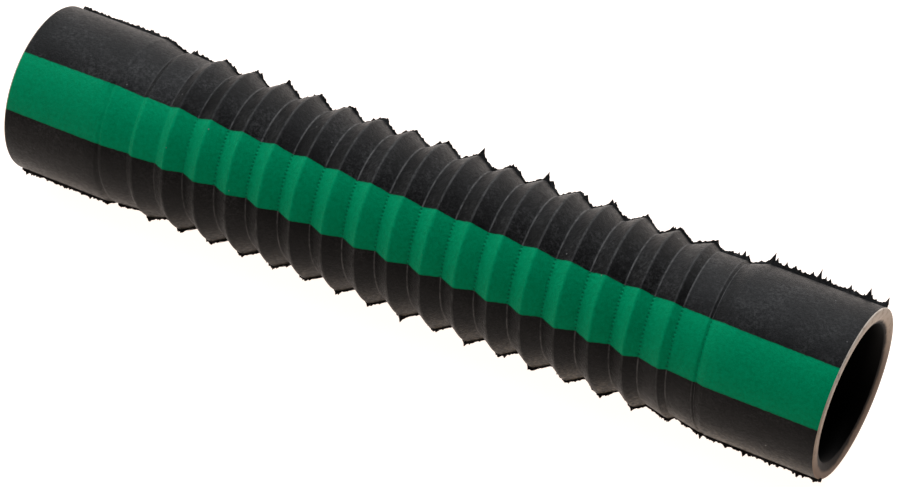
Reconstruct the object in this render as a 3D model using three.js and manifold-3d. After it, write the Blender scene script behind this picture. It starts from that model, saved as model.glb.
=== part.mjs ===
// A moulded rubber coolant hose for a car radiator, lying on its side, in millimetres with +Z up.
// It is one piece of black rubber: a plain cuff at each end, which a hose clamp pulls down on a pipe
// stub, and between them a wall that waves in and out along one right-handed helix, so that the hose
// bends without kinking. The wave fades out into both cuffs. A thin fin of moulding flash stands along
// each of the two lines where the mould's halves met.
import * as THREE from "three";
import { ParametricGeometry } from "three/addons/geometries/ParametricGeometry.js";
import { mergeVertices } from "three/addons/utils/BufferGeometryUtils.js";
import Module from "manifold-3d";

// Driving dimensions, in millimetres. Places along the hose are counted from its left end.
const hoseLength = 282;
const cuffRadius = 27.3;
const wallThickness = 5.1;
const leftCuffLength = 33.5;
const rightCuffLength = 37.5;
const outerEdgeChamfer = 0.4;
const boreEdgeWidth = 2.9;
const boreEdgeSetback = 0.9;

// The helical wave: its pitch, its depth, the share of that depth which shows in the bore, and the
// narrow lands on top of a ridge and in the bottom of a groove.
const wavePitch = 11.4;
const waveDepth = 3.1;
const boreWaveShare = 0.4;
const ridgeLand = 0.7;
const grooveLand = 0.7;

// Over the run-out length next to a cuff the grooves get shallower. Beside the cuff the wall also dips
// below the cuff's own radius, deepest in the middle of the dip's length.
const runOutLength = 36;
const dipLength = 17;
const dipDepth = 1.4;

// The helix is counted from a ridge that would be this far before the end of the left cuff.
const helixLead = 11.3;

// The flash fins: how far the upper and the lower one stand out, their thickness, how deep they are
// rooted in the wall, the bare length at the left end, and the angle of the lower one about the hose,
// from the top towards the front. The upper one is opposite.
const upperFlashHeight = 1.3;
const lowerFlashHeight = 0.9;
const flashThickness = 0.7;
const flashRootDepth = 0.6;
const flashGap = 1.2;
const flashAngle = 131.5;

// The solid has this many flat sides about the hose, which touch the true circle. One faces down.
const sideCount = 28;

// A flank counts as at least this long, so its slope stays finite where the wave meets a cuff.
const shortestFlank = 0.1;

// Corners closer than this are one corner.
const cornerTolerance = 0.0001;

const rubberColor = 0x1f1f21;

const rubber = new THREE.MeshStandardMaterial({ color: rubberColor, roughness: 0.6, metalness: 0 });

const { clamp, degToRad, lerp } = THREE.MathUtils;
const boreRadius = cuffRadius - wallThickness;
const waveEnd = hoseLength - rightCuffLength;
const helixStart = leftCuffLength - helixLead;
const helixTurns = Math.ceil((waveEnd - helixStart) / wavePitch);

const wasm = await Module();
wasm.setup();

// How far a place lies inside the waved length, from the nearer cuff.
const fromCuff = (x) => Math.min(x - leftCuffLength, waveEnd - x);

// Ridges are numbered along the helix: ridge 2.5 is half a turn past ridge 2. Turns go from the top
// towards the front and are counted from the edge of the topmost side, and a ridge moves one pitch to
// the right in each of them.
const ridgePlace = (ridge) => helixStart + wavePitch * ridge;

// The radius of a ridge, lower in the dip beside a cuff.
function ridgeRadius(x) {
  const share = clamp(fromCuff(x) / dipLength, 0, 1);
  return cuffRadius - dipDepth * Math.sin(Math.PI * share) ** 2;
}

// The flank on a ridge's cuff side: it keeps its slope and gets shorter as the groove gets shallower.
const flankDrop = (x) => waveDepth * clamp(fromCuff(x) / runOutLength, 0, 1);
const flankLength = (x) => Math.max(ridgeLand + grooveLand, (flankDrop(x) / waveDepth) * wavePitch) / 2;

// The groove after a ridge, as its place and radius. It belongs to the ridge on its far side from the
// nearer cuff.
function grooveAfter(ridge) {
  const before = ridgePlace(ridge);
  const after = ridgePlace(ridge + 1);
  const isLeft = before + after < leftCuffLength + waveEnd;
  const owner = isLeft ? after : before;
  const place = isLeft ? after - flankLength(after) : before + flankLength(before);
  return { place, radius: ridgeRadius(owner) - flankDrop(owner) };
}

// The outside: straight flanks between the lands of ridges and grooves, and plain cuffs.
function outerRadius(x, turn) {
  if (fromCuff(x) <= 0) return cuffRadius;
  const ridge = Math.floor((x - helixStart) / wavePitch - turn) + turn;
  const before = Math.max(ridgePlace(ridge), leftCuffLength);
  const after = Math.min(ridgePlace(ridge + 1), waveEnd);
  const groove = grooveAfter(ridge);
  const top = x < groove.place ? before : after;
  const reach = Math.abs(groove.place - top) - ridgeLand / 2 - grooveLand / 2;
  const climb = Math.abs(x - groove.place) - grooveLand / 2;
  return lerp(groove.radius, ridgeRadius(top), clamp(climb / Math.max(reach, shortestFlank), 0, 1));
}

// The bore follows the outside with a shallower wave, so the wall stays about as thick.
function innerRadius(x, turn) {
  return boreRadius - boreWaveShare * (cuffRadius - outerRadius(x, turn));
}

// The skin is a grid: rows run round the hose, and each row is a function from the share of a turn to
// [place along the hose, radius]. A plain row is a flat ring.
const ring = (x, radius) => () => [x, radius];

// Rows that follow the helix along the given edges of every ridge, so a row that has gone once round
// meets the row of the next ridge. They start and stop in a plain ring at the end of each cuff.
function helicalRows(edges, radiusAt) {
  const rows = [ring(leftCuffLength, radiusAt(leftCuffLength, 0))];
  for (let ridge = 0; ridge < helixTurns; ridge++) {
    for (const edge of edges) {
      rows.push((around) => {
        const x = clamp(edge(ridge + around), leftCuffLength, waveEnd);
        return [x, radiusAt(x, around % 1)];
      });
    }
  }
  return [...rows, ring(waveEnd, radiusAt(waveEnd, 0))];
}

function outerRows() {
  const edges = [
    (ridge) => ridgePlace(ridge) - ridgeLand / 2,
    (ridge) => ridgePlace(ridge) + ridgeLand / 2,
    (ridge) => grooveAfter(ridge).place - grooveLand / 2,
    (ridge) => grooveAfter(ridge).place + grooveLand / 2,
  ];
  return [
    ring(0, cuffRadius - outerEdgeChamfer),
    ring(outerEdgeChamfer, cuffRadius),
    ...helicalRows(edges, outerRadius),
    ring(hoseLength - outerEdgeChamfer, cuffRadius),
    ring(hoseLength, cuffRadius - outerEdgeChamfer),
  ];
}

function boreRows() {
  return [
    ring(0, boreRadius + boreEdgeWidth),
    ring(boreEdgeSetback, boreRadius),
    ...helicalRows([ridgePlace, (ridge) => grooveAfter(ridge).place], innerRadius),
    ring(hoseLength - boreEdgeSetback, boreRadius),
    ring(hoseLength, boreRadius + boreEdgeWidth),
  ];
}

// The whole skin: along the outside, over the right end, back through the bore and over the left end.
function skinGeometry() {
  const loop = [...outerRows(), ...boreRows().reverse()];
  const surface = (around, along, target) => {
    const row = loop[Math.round(along * loop.length) % loop.length];
    const side = Math.round(around * sideCount);
    const [x, radius] = row(side / sideCount);
    const corner = radius / Math.cos(Math.PI / sideCount);
    const angle = (2 * Math.PI * ((side % sideCount) + 0.5)) / sideCount;
    target.set(x, -corner * Math.sin(angle), corner * Math.cos(angle));
  };
  return new ParametricGeometry(surface, sideCount, loop.length);
}

// A closed solid from a geometry: like corners become one, and triangles left without area go.
function solidFrom(geometry) {
  const bare = geometry.clone();
  bare.deleteAttribute("normal");
  bare.deleteAttribute("uv");
  const merged = mergeVertices(bare, cornerTolerance);
  const corners = [];
  for (let i = 0; i < merged.index.count; i += 3) {
    const [a, b, c] = merged.index.array.slice(i, i + 3);
    if (a !== b && b !== c && c !== a) corners.push(a, b, c);
  }
  const mesh = new wasm.Mesh({
    numProp: 3,
    vertProperties: merged.getAttribute("position").array,
    triVerts: new Uint32Array(corners),
  });
  return new wasm.Manifold(mesh);
}

// One flash fin: a plate along the hose that follows the wave at its own angle. It stands out by an
// even height and is rooted in the wall by an even depth.
function flashGeometry(angle, height) {
  const turn = (angle / 360 - 0.5 / sideCount + 1) % 1;
  const path = [[flashGap, cuffRadius], [leftCuffLength, cuffRadius]];
  for (let pitch = 0; pitch < helixTurns; pitch++) {
    const ridge = pitch + turn;
    for (const x of [ridgePlace(ridge), grooveAfter(ridge).place])
      if (fromCuff(x) > 0) path.push([x, outerRadius(x, turn)]);
  }
  path.push([waveEnd, cuffRadius], [hoseLength, cuffRadius]);
  const crest = path.map(([x, radius]) => new THREE.Vector2(x, radius + height));
  const root = path.map(([x, radius]) => new THREE.Vector2(x, radius - flashRootDepth));
  const outline = new THREE.Shape([...crest, ...root.reverse()]);
  const plate = new THREE.ExtrudeGeometry(outline, { depth: flashThickness, bevelEnabled: false });
  plate.translate(0, 0, -flashThickness / 2);
  return plate.rotateX(degToRad(angle + 90));
}

// The three.js geometry of a solid.
function geometryOf(solid) {
  const mesh = solid.getMesh();
  const geometry = new THREE.BufferGeometry();
  geometry.setAttribute("position", new THREE.BufferAttribute(mesh.vertProperties, 3));
  geometry.setIndex(new THREE.BufferAttribute(mesh.triVerts, 1));
  geometry.computeVertexNormals();
  return geometry;
}

function makeHose() {
  const skin = solidFrom(skinGeometry());
  const lowerFin = solidFrom(flashGeometry(flashAngle, lowerFlashHeight));
  const upperFin = solidFrom(flashGeometry(flashAngle - 180, upperFlashHeight));
  const hose = new THREE.Mesh(geometryOf(skin.add(lowerFin).add(upperFin)), rubber);
  hose.name = "hose";
  // The middle of the hose stands over the origin, and its lowest side lies at height 0.
  hose.position.set(-hoseLength / 2, 0, cuffRadius);
  return hose;
}

const radiatorHose = new THREE.Group();
radiatorHose.name = "radiator_hose";
radiatorHose.add(makeHose());

export default radiatorHose;
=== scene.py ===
# %% [markdown]
# # A moulded radiator hose
#
# The real thing is a short, thick-walled hose of black rubber that joins a car's radiator to its engine.
# It is moulded in one go: two plain cuffs for the clamps and, between them, a wall that waves in and out
# along one right-handed helix, so the hose bends without kinking. A green stripe runs along one side, and
# a ragged fin of torn flash stands along each of the two lines where the mould's halves met.
#
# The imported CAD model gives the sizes. The surfaces here are the same shape, made finer.

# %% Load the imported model
import math

import bmesh
import bpy
import numpy as np
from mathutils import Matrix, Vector


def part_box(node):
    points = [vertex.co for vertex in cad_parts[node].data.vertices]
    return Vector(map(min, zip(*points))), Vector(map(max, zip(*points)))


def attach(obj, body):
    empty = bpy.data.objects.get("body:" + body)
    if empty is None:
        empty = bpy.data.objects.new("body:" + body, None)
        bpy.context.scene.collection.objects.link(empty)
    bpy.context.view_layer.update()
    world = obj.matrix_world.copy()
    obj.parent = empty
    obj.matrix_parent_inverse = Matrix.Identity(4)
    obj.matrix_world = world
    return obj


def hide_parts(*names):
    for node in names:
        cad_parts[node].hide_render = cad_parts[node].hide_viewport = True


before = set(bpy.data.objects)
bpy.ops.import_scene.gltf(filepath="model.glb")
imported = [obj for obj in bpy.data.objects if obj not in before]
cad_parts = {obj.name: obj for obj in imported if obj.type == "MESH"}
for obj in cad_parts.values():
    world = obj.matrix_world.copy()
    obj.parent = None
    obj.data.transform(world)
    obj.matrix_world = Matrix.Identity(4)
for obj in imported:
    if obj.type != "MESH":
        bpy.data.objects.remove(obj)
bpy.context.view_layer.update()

MM = 0.001
low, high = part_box("hose")
HOSE_LENGTH = high.x - low.x
LEFT_END = low.x
CUFF_RADIUS = (high.y - low.y) / 2
AXIS_HEIGHT = low.z + CUFF_RADIUS
print(f"hose {HOSE_LENGTH / MM:.1f} mm long, {2 * CUFF_RADIUS / MM:.1f} mm across")

# %% [markdown]
# ## The camera
#
# The photographer stood above and to the right of the hose, with a long lens, so the near end is only a
# little bigger than the far one. The place and the lens were worked out from the two end circles and the
# straight edges of the cuffs, which is more exact than turning the view by eye. The camera is level.

# %% Camera at the photograph's place
CAMERA_PLACE = Vector((387.8, -706.3, 825.6)) * MM
CAMERA_TARGET = Vector((5.6, -0.8, 26.6)) * MM
CAMERA_LENS_MM = 147.15
CAMERA_SENSOR_MM = 36.0
CAMERA_REACH = 20.0


def aimed_turn(place, target):
    """The turn that points an object's -Z from place at target and keeps its Y upwards."""
    return (target - place).to_track_quat("-Z", "Y").to_euler()


camera_data = bpy.data.cameras.new("camera")
camera_data.lens = CAMERA_LENS_MM
camera_data.sensor_width = CAMERA_SENSOR_MM
camera_data.clip_end = CAMERA_REACH
camera = bpy.data.objects.new("camera", camera_data)
camera.location = CAMERA_PLACE
camera.rotation_euler = aimed_turn(CAMERA_PLACE, CAMERA_TARGET)
bpy.context.scene.collection.objects.link(camera)
bpy.context.scene.camera = camera
print(f"camera {(CAMERA_PLACE - CAMERA_TARGET).length:.3f} m away, lens {CAMERA_LENS_MM} mm")

# %% [markdown]
# ## The shape of the wall
#
# Every point of the wall has a place along the hose and an angle round it, 0 at the top and growing
# towards the front. A ridge moves one pitch to the right in each turn, so ridges are numbered along the
# helix: ridge 2.5 is half a turn past ridge 2. Each groove belongs to the ridge on its far side from the
# nearer cuff. Near a cuff its flank keeps the slope and gets shorter, so the waves fade into soft steps.
#
# The same rules made the solid. Here the corners of the wave are rounded as moulded rubber is.

# %% Sizes of the moulding
LEFT_CUFF_END = 33.5 * MM
WAVE_END = HOSE_LENGTH - 37.5 * MM
WALL = 5.1 * MM
BORE_RADIUS = CUFF_RADIUS - WALL
PITCH = 11.4 * MM
WAVE_DEPTH = 3.1 * MM
BORE_WAVE_SHARE = 0.4
RUN_OUT_LENGTH = 36.0 * MM
DIP_LENGTH = 17.0 * MM
DIP_DEPTH = 1.4 * MM
SHORTEST_FLANK = 0.7 * MM
FIRST_RIDGE = LEFT_CUFF_END - 11.5 * MM
RIDGE_COUNT = math.ceil((WAVE_END - FIRST_RIDGE) / PITCH)
print(f"{RIDGE_COUNT} turns of the helix between {LEFT_CUFF_END / MM:.0f} and {WAVE_END / MM:.0f} mm")

# %% Ridges and grooves
def from_cuff(along):
    """How far a place lies inside the waved length, from the nearer cuff."""
    return np.minimum(along - LEFT_CUFF_END, WAVE_END - along)


def ridge_place(ridge):
    """A ridge's place along the hose: one pitch for each whole ridge number."""
    return FIRST_RIDGE + PITCH * ridge


def ridge_radius(along):
    """The cuff's radius, less a dip beside each cuff that follows a squared sine."""
    share = np.clip(from_cuff(along) / DIP_LENGTH, 0, 1)
    return CUFF_RADIUS - DIP_DEPTH * np.sin(np.pi * share) ** 2


def flank_share(along):
    """The share of its full drop that a ridge's cuff-side flank has: a straight run-out to 0."""
    return np.clip(from_cuff(along) / RUN_OUT_LENGTH, 0, 1)


def groove_after(ridge):
    """The groove after a ridge: its place, and its radius, which is its own ridge's less the drop."""
    before = ridge_place(ridge)
    after = ridge_place(ridge + 1)
    in_left_half = before + after < LEFT_CUFF_END + WAVE_END
    owner = np.where(in_left_half, after, before)
    flank = np.maximum(flank_share(owner) * PITCH / 2, SHORTEST_FLANK)
    place = np.where(in_left_half, after - flank, before + flank)
    return place, ridge_radius(owner) - flank_share(owner) * WAVE_DEPTH


# %% [markdown]
# A flank is straight, and eases into the ridge's top and the groove's floor over a fixed length. The slope
# of the easing is a smooth step, so its height is the integral of one, which is a short polynomial.

# %% Radius of the outside and of the bore
RIDGE_ROUNDING = 0.6 * MM
GROOVE_ROUNDING = 0.45 * MM
SHORTEST_CLIMB = 0.1 * MM


def eased(distance, width):
    """The integral of a smooth step: flat at 0, and a straight line of slope 1 past the width."""
    step = np.clip(distance / width, 0, 1)
    return width * (step ** 3 - step ** 4 / 2) + np.maximum(distance - width, 0)


def wave_height(along, turn):
    """Height from 0 in a groove to 1 on a ridge, the groove's radius and the ridge's radius."""
    ridge = np.floor((along - FIRST_RIDGE) / PITCH - turn) + turn
    groove, low_radius = groove_after(ridge)
    before = np.maximum(ridge_place(ridge), LEFT_CUFF_END)
    after = np.minimum(ridge_place(ridge + 1), WAVE_END)
    top = np.where(along < groove, before, after)
    length = np.maximum(np.abs(groove - top), SHORTEST_CLIMB)
    share = np.clip(np.abs(along - groove) / length, 0, 1)
    groove_width = np.minimum(GROOVE_ROUNDING / length, 0.5)
    ridge_width = np.minimum(RIDGE_ROUNDING / length, 0.5)
    total = 1 - (groove_width + ridge_width) / 2
    rising = eased(share, groove_width)
    falling = total - eased(1 - share, ridge_width)
    height = np.where(share < 0.5, rising, falling) / total
    in_cuff = from_cuff(along) <= 0
    return np.where(in_cuff, 1.0, height), low_radius, np.where(in_cuff, CUFF_RADIUS, ridge_radius(top))


def outer_radius(along, turn):
    """The groove's radius plus the wave's height times the way up to the ridge's radius."""
    height, low_radius, high_radius = wave_height(along, turn)
    return np.where(height >= 1, high_radius, low_radius + height * (high_radius - low_radius))


def bore_radius(along, turn):
    """The bore follows the outside with a shallower wave."""
    return BORE_RADIUS - BORE_WAVE_SHARE * (CUFF_RADIUS - outer_radius(along, turn))


front_places = np.linspace(LEFT_CUFF_END, WAVE_END, 4000)
front_radii = outer_radius(front_places, 0.25)
print(f"radius between {front_radii.min() / MM:.2f} and {front_radii.max() / MM:.2f} mm along the front")

# %% [markdown]
# ## The skin as one grid
#
# The skin could be a plain grid of rings, but then every ridge would cross the rings as a staircase. So
# the rows follow the helix: a row that has gone once round meets the row of the next ridge. Rows are close
# together on the ridges and in the grooves, where the surface turns, and stop in a plain ring at each cuff.
#
# The rows run along the outside, over the cut right end, back through the bore and over the left end,
# which closes the shell.

# %% Rows of the skin
COLUMNS = 192
turns = np.linspace(0, 1, COLUMNS + 1)
OUTER_STEPS = np.array([0, 0.03, 0.065, 0.1, 0.16, 0.84, 0.92, 0.96])
BORE_STEPS = np.array([0, 0.3, 0.7])


def helical_rows(steps):
    """Places along the hose, one row for each step from ridge to groove and back up to the next."""
    ridges = np.arange(RIDGE_COUNT)[:, None, None] + turns[None, None, :]
    groove, _ = groove_after(ridges)
    climb = np.concatenate([[0], 1 - steps[:0:-1]])
    down = ridge_place(ridges) + steps[None, :, None] * (groove - ridge_place(ridges))
    up = groove + climb[None, :, None] * (ridge_place(ridges + 1) - groove)
    rows = np.concatenate([down, up], axis=1).reshape(-1, COLUMNS + 1)
    return np.clip(rows, LEFT_CUFF_END, WAVE_END)


outer_places = helical_rows(OUTER_STEPS)
bore_places = helical_rows(BORE_STEPS)
print(f"{len(outer_places)} rows outside and {len(bore_places)} in the bore")

# %% [markdown]
# The ends are cut with a knife, about a degree off square: both are a little longer along the hose's upper
# back. The outer edge is slightly rounded, and the inner half of the cut rolls over into the bore. The
# cut isn't perfectly flat either, so a faint ripple runs round it.

# %% Rows of a cut end
EDGE_ROUND = 0.5 * MM
FACE_INNER_RADIUS = BORE_RADIUS + 2.9 * MM
MOUTH_SETBACK = 1.0 * MM
MOUTH_CURVE = 1.5
CUT_RIPPLE = 0.05 * MM
CUT_SLANT = 0.6 * MM
LONGEST_SIDE = math.radians(-48.5)
LEFT_RIPPLE_PHASE = 0.7
RIGHT_RIPPLE_PHASE = 2.1
EDGE_POINTS = 5
MOUTH_POINTS = 9


def end_profile():
    """Depth below the cut face and radius: a quarter circle at the edge, the flat face, then the mouth.

    In the mouth the depth grows as a power of the way from the face to the bore.
    """
    arc = np.radians(np.linspace(0, 90, EDGE_POINTS))
    depth = EDGE_ROUND * (1 - np.sin(arc))
    radius = CUFF_RADIUS - EDGE_ROUND * (1 - np.cos(arc))
    inward = np.linspace(0, 1, MOUTH_POINTS)
    mouth_depth = MOUTH_SETBACK * inward ** MOUTH_CURVE
    mouth_radius = FACE_INNER_RADIUS - (FACE_INNER_RADIUS - BORE_RADIUS) * inward
    return np.concatenate([depth, mouth_depth]), np.concatenate([radius, mouth_radius])


def ripple(phase):
    """Three sine waves round the end, which close on themselves, between 0 and 1."""
    angle = 2 * np.pi * turns
    waves = np.sin(2 * angle + phase) + 0.6 * np.sin(5 * angle + 2 * phase) + 0.4 * np.sin(11 * angle)
    return (waves + 2) / 4


def slant():
    """How much further than the mean the end reaches, a cosine that is highest on the longest side."""
    return CUT_SLANT * np.cos(2 * np.pi * turns - LONGEST_SIDE)


face_depth, face_radius = end_profile()
flat_share = np.clip(1 - face_depth / EDGE_ROUND, 0, 1)[:, None]
left_ripple = CUT_RIPPLE * flat_share * ripple(LEFT_RIPPLE_PHASE)
right_ripple = CUT_RIPPLE * flat_share * ripple(RIGHT_RIPPLE_PHASE)
left_face_places = face_depth[:, None] + left_ripple - slant()
right_face_places = HOSE_LENGTH - face_depth[:, None] - right_ripple + slant()
face_radii = np.repeat(face_radius[:, None], COLUMNS + 1, axis=1)

# %% [markdown]
# ## Marks that the materials follow
#
# The stripe's two edges wander slowly along the hose, as sprayed edges do. The mesh keeps four numbers for
# each point: how high it lies on the wave, how deep it lies inside the stripe, its angle from the side
# that faces the camera, and its height above the bore. The materials read them, so colour and relief stay
# on the surface.

# %% The stripe's edges
STRIPE_SIDE = math.radians(41.5)
STRIPE_PLACES = np.array([0, 57.5, 90.5, 140.5, 220.5, 250.5, 282]) * MM
STRIPE_TOP = np.array([-16.0, -17.6, -17.8, -15.2, -14.0, -12.0, -11.5])
STRIPE_BOTTOM = np.array([24.5, 24.8, 25.6, 28.4, 30.2, 30.2, 30.2])


def from_stripe_side(turn):
    """The angle from the camera's side of the hose, in degrees, between -180 and 180."""
    return (np.degrees(2 * np.pi * turn - STRIPE_SIDE) + 180) % 360 - 180


def stripe_depth(along, turn):
    """Millimetres inside the stripe's nearer edge, below 0 outside it."""
    angle = from_stripe_side(turn)
    top = np.interp(along, STRIPE_PLACES, STRIPE_TOP)
    bottom = np.interp(along, STRIPE_PLACES, STRIPE_BOTTOM)
    inside = np.minimum(angle - top, bottom - angle)
    return np.radians(inside) * CUFF_RADIUS / MM


# %% Put the rows together
def straight_rows(start, end, count):
    """Rings between two rings, each given as one place or as a place for each column."""
    first = np.broadcast_to(start, COLUMNS + 1)
    last = np.broadcast_to(end, COLUMNS + 1)
    return np.linspace(first, last, count + 2)[1:-1]


CUFF_ROWS = 6
outer_rows = np.vstack([
    straight_rows(left_face_places[0], LEFT_CUFF_END, CUFF_ROWS),
    outer_places,
    np.full((1, COLUMNS + 1), WAVE_END),
    straight_rows(WAVE_END, right_face_places[0], CUFF_ROWS),
])
bore_rows = np.vstack([
    straight_rows(left_face_places[-1], LEFT_CUFF_END, CUFF_ROWS),
    bore_places,
    np.full((1, COLUMNS + 1), WAVE_END),
    straight_rows(WAVE_END, right_face_places[-1], CUFF_ROWS),
])[::-1]
wrapped_turns = turns % 1.0
outer_radii = outer_radius(outer_rows, wrapped_turns[None, :])
bore_radii = bore_radius(bore_rows, wrapped_turns[None, :])
places = np.vstack([outer_rows, right_face_places, bore_rows, left_face_places[::-1]])
radii = np.vstack([outer_radii, face_radii, bore_radii, face_radii[::-1]])
OUTSIDE = 0
CUT_FACE = 1
BORE = 2
row_kinds = np.concatenate([
    np.full(len(outer_rows), OUTSIDE),
    np.full(len(face_radii), CUT_FACE),
    np.full(len(bore_rows), BORE),
    np.full(len(face_radii), CUT_FACE),
])
print(f"{len(places)} rows of {COLUMNS} columns, {2 * len(places) * COLUMNS} triangles at most")

# %% [markdown]
# ## From rows to a mesh
#
# One function turns a grid of points into faces that join row to row. The last column lies on the first,
# one ridge further on, so like points are merged, which also removes the faces that have no area where
# helical rows run into a cuff's ring.

# %% Mesh helpers
def around_axis(along, radius, turn):
    """Points in space: along X from the left end, and round the hose's own axis."""
    angle = 2 * np.pi * turn
    x = LEFT_END + along
    y = -radius * np.sin(angle)
    z = AXIS_HEIGHT + radius * np.cos(angle)
    return np.stack(np.broadcast_arrays(x, y, z), axis=-1)


def closed_grid_faces(rows, columns):
    """Quads of a grid whose last row joins the first, with columns + 1 points in each row."""
    row = np.arange(rows)[:, None]
    column = np.arange(columns)[None, :]
    next_row = (row + 1) % rows
    width = columns + 1
    corners = [row * width + column, row * width + column + 1]
    corners += [next_row * width + column + 1, next_row * width + column]
    return np.stack(np.broadcast_arrays(*corners), axis=-1).reshape(-1, 4)


def merge_like_points(mesh, distance):
    """Joins points closer than the distance and makes the faces point outwards."""
    work = bmesh.new()
    work.from_mesh(mesh)
    bmesh.ops.remove_doubles(work, verts=work.verts, dist=distance)
    bmesh.ops.recalc_face_normals(work, faces=work.faces)
    work.to_mesh(mesh)
    work.free()


def add_piece(name, mesh):
    """A new object at the origin that rides on the hose's body."""
    piece = bpy.data.objects.new(name, mesh)
    bpy.context.scene.collection.objects.link(piece)
    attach(piece, "root")
    return piece


def set_marks(mesh, marks):
    """Stores one number for each point under each name."""
    for name, values in marks.items():
        attribute = mesh.attributes.new(name, "FLOAT", "POINT")
        attribute.data.foreach_set("value", np.ascontiguousarray(values, np.float32).ravel())


# %% [markdown]
# Off the outside, a point counts as lying on a ridge, so the cut ends and the bore get no groove marks. A
# band of faces takes its material from its first row, but the band past a cut end's last row belongs to
# what follows it.

# %% The hose's skin
SKIN_MERGE_DISTANCE = 1e-6
ridge_share, _, _ = wave_height(places, wrapped_turns[None, :])
ridge_share = np.where((row_kinds == OUTSIDE)[:, None], ridge_share, 1.0)
hose_mesh = bpy.data.meshes.new("rubber_hose")
skin_faces = closed_grid_faces(len(places), COLUMNS)
hose_mesh.from_pydata(around_axis(places, radii, turns[None, :]).reshape(-1, 3), [], skin_faces)
set_marks(hose_mesh, {
    "ridge_share": ridge_share,
    "stripe_depth": stripe_depth(places, wrapped_turns[None, :]),
    "stripe_angle": np.broadcast_to(from_stripe_side(wrapped_turns)[None, :], places.shape),
    "above_bore": (radii - BORE_RADIUS) / MM,
})
face_kinds = np.where(row_kinds == CUT_FACE, np.roll(row_kinds, -1), row_kinds)
hose_mesh.polygons.foreach_set("material_index", np.repeat(face_kinds, COLUMNS).astype(np.int32))
hose_mesh.polygons.foreach_set("use_smooth", np.ones(len(skin_faces), bool))
merge_like_points(hose_mesh, SKIN_MERGE_DISTANCE)
rubber_hose = add_piece("rubber_hose", hose_mesh)
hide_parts("hose")
print(f"skin: {len(hose_mesh.vertices)} points, {len(hose_mesh.polygons)} faces")

# %% [markdown]
# ## The torn flash
#
# Where the mould's halves met, rubber squeezed out as a thin sheet that was torn off by hand. What stays
# is a ragged fin: low and even in places, with teeth and a few long spikes. It follows the waves. A fin is
# a thin cross-section carried along the hose, and its height is a base plus slow and fast noise plus
# spikes. All random numbers come from a fixed seed, so the fins are the same in every run.

# %% Ragged heights
FLASH_TURN = (math.degrees(STRIPE_SIDE) + 90) / 360
FLASH_GAP = 1.2 * MM
FLASH_STEP = 0.12 * MM
TEETH_HEIGHT = 0.3 * MM
SLOW_CELL = 5 * MM
COARSE_TOOTH = 0.7 * MM
FINE_TOOTH = 0.3 * MM
SPIKE_SHARPNESS = 1.7
SPIKE_REACH = 2.4 * MM
flash_along = np.arange(FLASH_GAP, HOSE_LENGTH, FLASH_STEP)


def smooth_noise(along, cell, random):
    """Random heights between 0 and 1 at even cells, joined by smooth steps."""
    knots = random.random(int(along[-1] / cell) + 3)
    place = along / cell
    index = np.floor(place).astype(int)
    step = place - index
    step = step * step * (3 - 2 * step)
    return knots[index] * (1 - step) + knots[index + 1] * step


def spike(along, place, tall, left, right):
    """One hollow-sided spike: the distance from its tip, scaled by its width, to a power."""
    side = np.where(along < place, (place - along) / left, (along - place) / right)
    return tall * np.clip(1 - side, 0, 1) ** SPIKE_SHARPNESS


def spikes(along, random, spacing, tallest):
    """The highest of a row of spikes at uneven steps, most of them small, each with a few beside it."""
    height = np.zeros_like(along)
    place = along[0]
    while place < along[-1]:
        place += spacing * random.uniform(0.45, 1.55)
        tall = tallest * (0.3 + 0.7 * random.random() ** 1.8)
        widths = random.uniform(0.5, 1.1, 2) * MM * (0.7 + tall / (3 * MM))
        height = np.maximum(height, spike(along, place, tall, *widths))
        for _ in range(random.integers(1, 4)):
            beside = place + random.uniform(-1, 1) * SPIKE_REACH
            small = tall * random.uniform(0.2, 0.5)
            widths = random.uniform(0.3, 0.7, 2) * MM
            height = np.maximum(height, spike(along, beside, small, *widths))
    return height


def flash_height(along, turn, random, base, spacing, tallest, growth):
    """Base height times slow noise, plus fine teeth, plus spikes, all of them lower in the grooves."""
    ridge, _, _ = wave_height(along, turn)
    slow = 0.75 + 0.5 * smooth_noise(along, SLOW_CELL, random)
    teeth = smooth_noise(along, COARSE_TOOTH, random) + 0.6 * smooth_noise(along, FINE_TOOTH, random)
    tall = spikes(along, random, spacing, tallest) * growth
    fringe = base * slow + TEETH_HEIGHT * teeth ** 2
    return fringe * (0.8 + 0.35 * ridge) + tall * (0.45 + 0.55 * ridge ** 2)


# %% A fin from its heights
FIN_ROOT_DEPTH = 0.6 * MM
FIN_ROOT_THICKNESS = 0.7 * MM
FIN_TIP_THICKNESS = 0.16 * MM
FIN_LEVELS = np.array([0, 0.35, 0.7, 1.0])
FIN_TAPER = 0.6
BEND_CELL = 2.2 * MM
BEND_RANGE = 0.5 * MM
FIN_MERGE_DISTANCE = 1e-8


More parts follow.
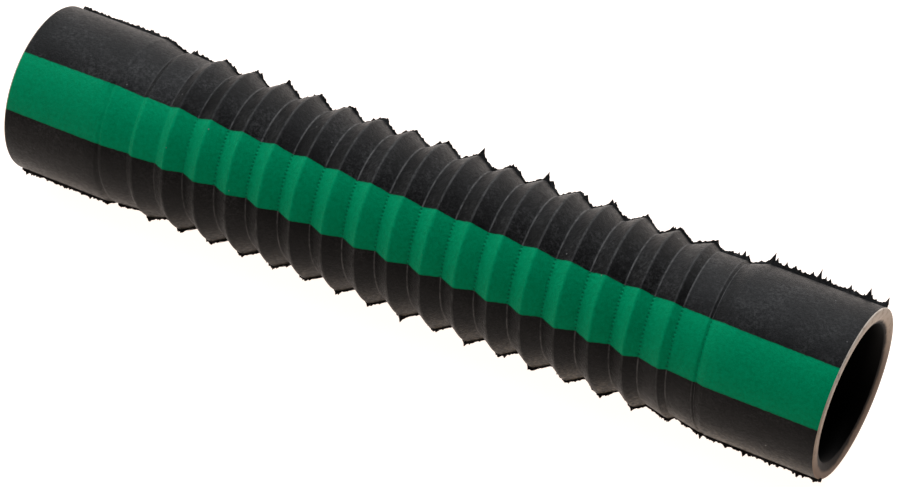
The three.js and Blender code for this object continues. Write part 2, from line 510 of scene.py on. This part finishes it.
def flash_fin(name, turn, heights, random):
    """A thin wedge carried along the hose: its root follows the wall and its tip the ragged height.

    It gets thinner towards the tip, and bends to either side as the square of the way up.
    """
    root = outer_radius(flash_along, turn % 1.0) - FIN_ROOT_DEPTH
    radius = root[:, None] + FIN_LEVELS[None, :] * (heights + FIN_ROOT_DEPTH)[:, None]
    half = (FIN_ROOT_THICKNESS + (FIN_TIP_THICKNESS - FIN_ROOT_THICKNESS) * FIN_LEVELS ** FIN_TAPER) / 2
    bend = (smooth_noise(flash_along, BEND_CELL, random) - 0.5) * BEND_RANGE
    sideways = bend[:, None] * FIN_LEVELS[None, :] ** 2
    radius = np.hstack([radius, radius[:, ::-1]])
    offset = np.hstack([sideways - half, (sideways + half)[:, ::-1]])
    points = around_axis(flash_along[:, None], radius, turn + offset / (2 * np.pi * radius))
    count, width = radius.shape
    row = np.arange(count - 1)[:, None]
    column = np.arange(width)[None, :]
    following = (column + 1) % width
    corners = [row * width + column, (row + 1) * width + column]
    corners += [(row + 1) * width + following, row * width + following]
    faces = np.stack(np.broadcast_arrays(*corners), axis=-1).reshape(-1, 4).tolist()
    faces += [list(range(width)), [(count - 1) * width + k for k in range(width)]]
    mesh = bpy.data.meshes.new(name)
    mesh.from_pydata(points.reshape(-1, 3), [], faces)
    merge_like_points(mesh, FIN_MERGE_DISTANCE)
    fin = add_piece(name, mesh)
    print(f"{name}: {len(faces)} faces, up to {heights.max() / MM:.1f} mm high")
    return fin


# %% [markdown]
# The upper fin has long spikes, which get longer towards the right end. The lower one is lower and more
# even.

# %% Upper and lower fin
upper_random = np.random.default_rng(23)
upper_base = np.interp(
    flash_along,
    [0, WAVE_END - 25 * MM, WAVE_END, HOSE_LENGTH],
    [0.5 * MM, 0.6 * MM, 0.95 * MM, 0.75 * MM],
)
upper_growth = np.interp(flash_along / HOSE_LENGTH, [0, 0.3, 0.75, 1], [0.22, 0.42, 0.95, 1.25])
upper_turn = FLASH_TURN + 0.5
upper_heights = flash_height(
    flash_along, upper_turn, upper_random, upper_base, 4.4 * MM, 2.9 * MM, upper_growth
)
lower_random = np.random.default_rng(8)
lower_base = np.full_like(flash_along, 0.5 * MM)
lower_growth = np.interp(flash_along, [0, HOSE_LENGTH], [0.7, 1.0])
lower_heights = flash_height(
    flash_along, FLASH_TURN, lower_random, lower_base, 3.4 * MM, 1.35 * MM, lower_growth
)
flash_upper = flash_fin("flash_upper", upper_turn, upper_heights, upper_random)
flash_lower = flash_fin("flash_lower", FLASH_TURN, lower_heights, lower_random)

# %% [markdown]
# ## Materials
#
# A small set of helpers keeps each material readable: every one returns the socket that the next step
# takes. Positions are Object coordinates in metres, so a pattern of 1 mm has a scale of about 1000.

# %% Node helpers
class Finish:
    """A material under construction, with short calls for the nodes that it needs."""

    def __init__(self, name):
        self.material = bpy.data.materials.new(name)
        self.material.use_nodes = True
        self.tree = self.material.node_tree
        self.shader = self.tree.nodes["Principled BSDF"]
        self.position = self.node("ShaderNodeTexCoord").outputs["Object"]

    def node(self, kind, **settings):
        """A new node of a kind, with its settings."""
        made = self.tree.nodes.new(kind)
        for key, value in settings.items():
            setattr(made, key, value)
        return made

    def put(self, socket, value):
        """Links a socket or sets a plain value."""
        if isinstance(value, bpy.types.NodeSocket):
            self.tree.links.new(value, socket)
        else:
            socket.default_value = value

    def noise(self, scale, detail=3.0, roughness=0.5):
        """Cloudy noise around 0.5."""
        made = self.node("ShaderNodeTexNoise")
        self.put(made.inputs["Vector"], self.position)
        self.put(made.inputs["Scale"], scale)
        self.put(made.inputs["Detail"], detail)
        self.put(made.inputs["Roughness"], roughness)
        return made.outputs["Fac"]

    def axes(self):
        """The position's three numbers, by the names X, Y and Z."""
        made = self.node("ShaderNodeSeparateXYZ")
        self.put(made.inputs["Vector"], self.position)
        return made.outputs

    def mark(self, name):
        """One of the numbers that the mesh keeps for each point."""
        return self.node("ShaderNodeAttribute", attribute_name=name).outputs["Fac"]

    def math(self, operation, first, second=0.0, clamp=False):
        """One sum, difference or the like of two numbers."""
        made = self.node("ShaderNodeMath", operation=operation, use_clamp=clamp)
        self.put(made.inputs[0], first)
        self.put(made.inputs[1], second)
        return made.outputs[0]

    def product(self, first, *others):
        """Several numbers multiplied."""
        for other in others:
            first = self.math("MULTIPLY", first, other)
        return first

    def step(self, value, low_edge, high_edge, low_result=0.0, high_result=1.0):
        """A smooth step of a value between two edges."""
        made = self.node("ShaderNodeMapRange", interpolation_type="SMOOTHSTEP")
        self.put(made.inputs["Value"], value)
        self.put(made.inputs["From Min"], low_edge)
        self.put(made.inputs["From Max"], high_edge)
        self.put(made.inputs["To Min"], low_result)
        self.put(made.inputs["To Max"], high_result)
        return made.outputs["Result"]

    def mix(self, share, first, second):
        """A blend of two colours."""
        made = self.node("ShaderNodeMix", data_type="RGBA")
        self.put(made.inputs["Factor"], share)
        self.put(made.inputs["A"], first)
        self.put(made.inputs["B"], second)
        return made.outputs["Result"]

    def bump(self, height, distance, strength=1.0, normal=None):
        """Relief of a height, on top of another relief where one is given."""
        made = self.node("ShaderNodeBump")
        self.put(made.inputs["Height"], height)
        self.put(made.inputs["Distance"], distance)
        self.put(made.inputs["Strength"], strength)
        if normal is not None:
            self.put(made.inputs["Normal"], normal)
        return made.outputs["Normal"]

    def set(self, **values):
        """Sets or links the shader's own inputs, named with underscores for spaces."""
        for key, value in values.items():
            self.put(self.shader.inputs[key.replace("_", " ")], value)


# %% [markdown]
# ### Black rubber with a green stripe
#
# Moulded rubber is a very deep black with a satin skin, so most of what the eye sees on it is light from
# the table and the panels, broken up by a fine grain. Grey speckles of fine dust are stronger towards the
# top. The lowest part has a warm painted reflection of the table, and ridges and groove floors have a thin
# painted highlight line. The stripe is a thin coat in the same skin: the grain shows through it, its edges
# wander a little, and it thins out towards them. In the deeper groove floors on the stripe there is a row of
# tiny pits, where air left the mould, coloured darker as painted shade.

# %% Rubber colours
RUBBER_DARK = (0.0024, 0.0022, 0.0021, 1)
RUBBER_DUSTY = (0.0290, 0.0280, 0.0275, 1)
# The table colour is a painted warm reflection of the table on the hose's lowest side.
TABLE_REFLECTION_PAINT = (0.145, 0.120, 0.088, 1)
# The line colour is a painted highlight along the ridges and groove floors.
PAINTED_LINE_HIGHLIGHT = (0.060, 0.058, 0.056, 1)
STRIPE_GREEN = (0.0, 0.240, 0.102, 1)
STRIPE_DEEP = (0.0, 0.180, 0.073, 1)
STRIPE_THIN_AND_PIT_SHADE = (0.0005, 0.085, 0.036, 1)
SPECK_WHITE = (0.16, 0.155, 0.15, 1)
STRIPE_SHINE = (0.0, 0.7, 0.38, 1)
WHITE = (1, 1, 1, 1)


def rubber_color(finish):
    """Deep black, with fine speckles of dust in faint clouds that are stronger towards the top, and a warm
    painted reflection of the table below.
    """
    clouds = finish.step(finish.noise(75, 5, 0.65), 0.38, 0.68, 0.15, 1.0)
    speckles = finish.step(finish.noise(900, 5, 0.85), 0.42, 0.64)
    axes = finish.axes()
    # The grey dust speckles grow stronger towards the top.
    towards_top = finish.step(axes["Z"], 28 * MM, 46 * MM, 0.25, 1.0)
    dust = finish.product(clouds, speckles, towards_top)
    color = finish.mix(dust, RUBBER_DARK, RUBBER_DUSTY)
    # Painted reflection: the warm table tinted onto the lowest part, stronger towards the right end, broken
    # up by noise.
    underneath = finish.step(axes["Z"], 24 * MM, 8 * MM)
    nearer = finish.step(axes["X"], -60 * MM, 110 * MM, 0.35, 1.0)
    reflection_breakup = finish.step(finish.noise(900, 4, 0.75), 0.36, 0.70)
    painted_table_reflection = finish.product(underneath, nearer, reflection_breakup)
    return finish.mix(painted_table_reflection, color, TABLE_REFLECTION_PAINT)


def painted_highlight_lines(finish):
    """A thin painted highlight along every ridge and every groove floor, fainter at the left and broken up
    by noise.
    """
    height = finish.mark("ridge_share")
    ridge = finish.step(height, 0.975, 0.998)
    in_cuff = finish.step(height, 0.9995, 0.99999)
    ridge_line = finish.product(finish.math("SUBTRACT", ridge, in_cuff, clamp=True), 0.5)
    groove_line = finish.step(height, 0.022, 0.002)
    line = finish.math("MAXIMUM", ridge_line, groove_line)
    broken = finish.step(finish.noise(340, 5, 0.7), 0.32, 0.68, 0.12, 1.0)
    fading = finish.step(finish.axes()["X"], -115 * MM, -35 * MM, 0.3, 1.0)
    return finish.product(line, broken, fading)


def specks(finish, scale, share):
    """Sparse dots: the small middles of a few Voronoi cells, chosen by the cell's own random colour."""
    cells = finish.node("ShaderNodeTexVoronoi")
    finish.put(cells.inputs["Vector"], finish.position)
    finish.put(cells.inputs["Scale"], scale)
    dot = finish.step(cells.outputs["Distance"], 0.30, 0.10)
    pick = finish.node("ShaderNodeSeparateColor")
    finish.put(pick.inputs[0], cells.outputs["Color"])
    chosen = finish.math("GREATER_THAN", pick.outputs[0], 1 - share)
    return finish.product(dot, chosen)


# %% The hose's outside
PIT_SPACING_DEGREES = 2.9
PIT_DEPTH = 0.25 * MM
GRAIN_DEPTH = 0.22 * MM
DENT_DEPTH = 0.25 * MM
EDGE_WANDER = 0.6
SPECK_SCALE = 1000
SPECK_SHARE = 0.0022
RUBBER_SHINE = 0.08


def groove_pits(finish, stripe):
    """Dots along the groove floors on the stripe, at an even spacing of the angle."""
    place = finish.math("DIVIDE", finish.mark("stripe_angle"), PIT_SPACING_DEGREES)
    offset = finish.math("ABSOLUTE", finish.math("SUBTRACT", finish.math("FRACT", place), 0.5))
    dot = finish.step(offset, 0.30, 0.16)
    floor = finish.step(finish.mark("ridge_share"), 0.045, 0.012)
    deep_grooves = finish.step(finish.axes()["X"], -88 * MM, -66 * MM)
    return finish.product(dot, floor, stripe, deep_grooves)


def outside_finish():
    """The moulded skin: dusty rubber with painted light, the coat of the stripe over it, and pits, specks
    and grain on both.
    """
    finish = Finish("striped_rubber")
    wander = finish.product(finish.math("SUBTRACT", finish.noise(500, 5, 0.7), 0.5), EDGE_WANDER)
    depth = finish.math("ADD", finish.mark("stripe_depth"), wander)
    stripe = finish.step(depth, -0.12, 0.14)
    thin = finish.step(depth, 0.55, 0.05, 0.0, 0.4)
    coat = finish.mix(finish.step(finish.noise(900, 5, 0.75), 0.32, 0.70), STRIPE_GREEN, STRIPE_DEEP)
    coat = finish.mix(thin, coat, STRIPE_THIN_AND_PIT_SHADE)
    # Painted highlight lines on ridges and groove floors go over the rubber's colour.
    rubber = finish.mix(painted_highlight_lines(finish), rubber_color(finish), PAINTED_LINE_HIGHLIGHT)
    color = finish.mix(stripe, rubber, coat)
    pits = groove_pits(finish, stripe)
    # The pits are coloured half-way to the thin coat's darker green: painted shade in the pits.
    color = finish.mix(finish.product(pits, 0.5), color, STRIPE_THIN_AND_PIT_SHADE)
    color = finish.mix(specks(finish, SPECK_SCALE, SPECK_SHARE), color, SPECK_WHITE)
    grain = finish.bump(finish.noise(1200, 5, 0.8), GRAIN_DEPTH, 0.9)
    dents = finish.bump(finish.noise(170, 3, 0.5), DENT_DEPTH, 0.3, grain)
    relief = finish.bump(finish.product(pits, -1.0), PIT_DEPTH, 0.8, dents)
    roughness = finish.step(finish.noise(800, 4, 0.7), 0.3, 0.7, 0.34, 0.50)
    finish.set(Base_Color=color, Roughness=roughness, Normal=relief)
    finish.set(Specular_Tint=finish.mix(stripe, WHITE, STRIPE_SHINE))
    finish.shader.inputs["Specular IOR Level"].default_value = RUBBER_SHINE
    return finish.material


hose_mesh.materials.append(outside_finish())

# %% [markdown]
# ### Cut ends and bore
#
# A knife leaves rubber paler and duller than the moulded skin, stained in places. Its colour is painted
# lighter at the top as painted light and darker brown at the bottom as painted shade. The mouth is painted
# dark as painted shade where it rolls over into the bore, further out at the front. The bore is black rubber
# painted darker than the outside as painted shade, and nothing lights it.

# %% Cut face and bore
# The pale colour is painted light on the cut's top and the low brown is painted shade on its bottom.
CUT_PAINTED_LIGHT = (0.450, 0.385, 0.325, 1)
CUT_GREY = (0.360, 0.290, 0.230, 1)
CUT_PAINTED_SHADE = (0.145, 0.100, 0.072, 1)
CUT_STAIN = (0.170, 0.125, 0.095, 1)
# The mouth colour is painted shade where the cut rolls over into the bore.
MOUTH_PAINTED_SHADE = (0.006, 0.004, 0.003, 1)
CUT_SHINE = 0.15
# The bore's colours are black rubber painted darker than the outside, as painted shade inside the hose.
BORE_BLACK_AND_SHADE = (0.0006, 0.0006, 0.0006, 1)
BORE_DUST_AND_SHADE = (0.003, 0.0028, 0.0026, 1)
BORE_SHINE = 0.03


def cut_finish():
    """The cut face: painted light and shade by height, then stains, then the mouth's painted shade by
    distance.
    """
    finish = Finish("cut_rubber")
    axes = finish.axes()
    # Painted light: paler towards the top. Painted shade: darker brown towards the bottom.
    color = finish.mix(finish.step(axes["Z"], 34 * MM, 50 * MM), CUT_GREY, CUT_PAINTED_LIGHT)
    color = finish.mix(finish.step(axes["Z"], 36 * MM, 15 * MM), color, CUT_PAINTED_SHADE)
    stains = finish.step(finish.noise(420, 5, 0.7), 0.45, 0.75, 0.0, 0.7)
    color = finish.mix(stains, color, CUT_STAIN)
    # Painted shade: the mouth darkens near the bore, further out at the front.
    ragged = finish.math("ADD", finish.mark("above_bore"), finish.product(finish.noise(300, 4, 0.6), 1.2))
    at_front = finish.step(axes["Y"], 8 * MM, -14 * MM, 0.0, 1.5)
    mouth = finish.step(finish.math("SUBTRACT", ragged, at_front), 2.3, 1.0)
    color = finish.mix(mouth, color, MOUTH_PAINTED_SHADE)
    grain = finish.bump(finish.noise(1800, 4, 0.65), 0.08 * MM, 0.6)
    finish.set(Base_Color=color, Roughness=0.7, Normal=grain)
    finish.shader.inputs["Specular IOR Level"].default_value = CUT_SHINE
    return finish.material


def bore_finish():
    """Dull black rubber with a little grey dust, painted darker than the outside as painted shade."""
    finish = Finish("bore_rubber")
    grain = finish.bump(finish.noise(1200, 3, 0.6), 0.06 * MM, 0.5)
    finish.set(Base_Color=finish.mix(finish.noise(140, 4, 0.6), BORE_BLACK_AND_SHADE, BORE_DUST_AND_SHADE), Normal=grain)
    finish.shader.inputs["Roughness"].default_value = 0.55
    finish.shader.inputs["Specular IOR Level"].default_value = BORE_SHINE
    return finish.material


hose_mesh.materials.append(cut_finish())
hose_mesh.materials.append(bore_finish())

# %% Torn flash
FLASH_BLACK = (0.0035, 0.003, 0.0028, 1)
FLASH_TORN = (0.040, 0.035, 0.031, 1)
FLASH_SHINE = 0.15


def flash_finish():
    """Black rubber, torn paler in patches."""
    finish = Finish("torn_flash")
    torn = finish.step(finish.noise(1300, 5, 0.7), 0.5, 0.75)
    grain = finish.bump(finish.noise(2200, 4, 0.6), 0.1 * MM, 0.8)
    finish.set(Base_Color=finish.mix(torn, FLASH_BLACK, FLASH_TORN), Normal=grain)
    finish.shader.inputs["Roughness"].default_value = 0.5
    finish.shader.inputs["Specular IOR Level"].default_value = FLASH_SHINE
    return finish.material


torn_flash = flash_finish()
flash_upper.data.materials.append(torn_flash)
flash_lower.data.materials.append(torn_flash)
print("materials:", [material.name for material in bpy.data.materials])

# %% [markdown]
# ## The floor and the lights
#
# The photograph was taken on a bright, slightly warm table: nothing casts a shadow, and the hose's
# underside catches warm light from below. The floor is therefore white and glows. A large soft panel
# hangs above and behind the hose and a cooler one straight above it. Weaker ones stand low behind it and
# to its left, so the ridges' left flanks are brighter than the right ones. Nothing lights it from the
# front or the right.

# %% Floor
FLOOR_SIZE = 12.0
FLOOR_COLOR = (0.25, 0.24, 0.23, 1)
FLOOR_GLOW = (1.0, 0.87, 0.79, 1)
FLOOR_GLOW_STRENGTH = 1.22


def make_floor():
    """One large square at the height of the hose's lowest side."""
    half = FLOOR_SIZE / 2
    corners = [(-half, -half, low.z), (half, -half, low.z), (half, half, low.z), (-half, half, low.z)]
    mesh = bpy.data.meshes.new("floor")
    mesh.from_pydata(corners, [], [(0, 1, 2, 3)])
    finish = Finish("white_table")
    finish.set(Base_Color=FLOOR_COLOR, Roughness=0.9)
    finish.set(Emission_Color=FLOOR_GLOW, Emission_Strength=FLOOR_GLOW_STRENGTH)
    finish.shader.inputs["Specular IOR Level"].default_value = 0.0
    mesh.materials.append(finish.material)
    floor = bpy.data.objects.new("floor", mesh)
    bpy.context.scene.collection.objects.link(floor)


make_floor()

# %% Soft panels
# An area light needs this many watts for each square metre and each unit of radiance.
WATTS_PER_RADIANCE = 4.0


def soft_light(name, place, width, height, radiance, color):
    """A rectangular area light aimed at the middle of the hose. Its power follows from its radiance."""
    data = bpy.data.lights.new(name, "AREA")
    data.shape = "RECTANGLE"
    data.size = width
    data.size_y = height
    data.energy = WATTS_PER_RADIANCE * radiance * width * height
    data.color = color
    light = bpy.data.objects.new(name, data)
    light.location = place
    light.rotation_euler = aimed_turn(Vector(place), Vector((0, 0, AXIS_HEIGHT)))
    bpy.context.scene.collection.objects.link(light)


soft_light("overhead_panel", (-0.25, 0.76, 1.27), 1.5, 1.2, 4.4, (0.97, 1.0, 1.04))
soft_light("top_panel", (-0.25, -0.02, 1.50), 1.2, 0.7, 2.3, (0.88, 0.98, 1.12))
soft_light("back_panel", (-0.13, 1.53, 0.50), 2.4, 0.8, 1.6, (1.0, 1.0, 1.02))
soft_light("left_panel", (-1.37, 0.05, 0.62), 1.5, 0.9, 1.45, (1.0, 1.0, 1.0))

# %% A faint room
ROOM_STRENGTH = 0.015
room = bpy.data.worlds.new("studio")
room.use_nodes = True
room.node_tree.nodes["Background"].inputs["Color"].default_value = (1, 1, 1, 1)
room.node_tree.nodes["Background"].inputs["Strength"].default_value = ROOM_STRENGTH
bpy.context.scene.world = room
bpy.context.scene.view_settings.view_transform = "Standard"
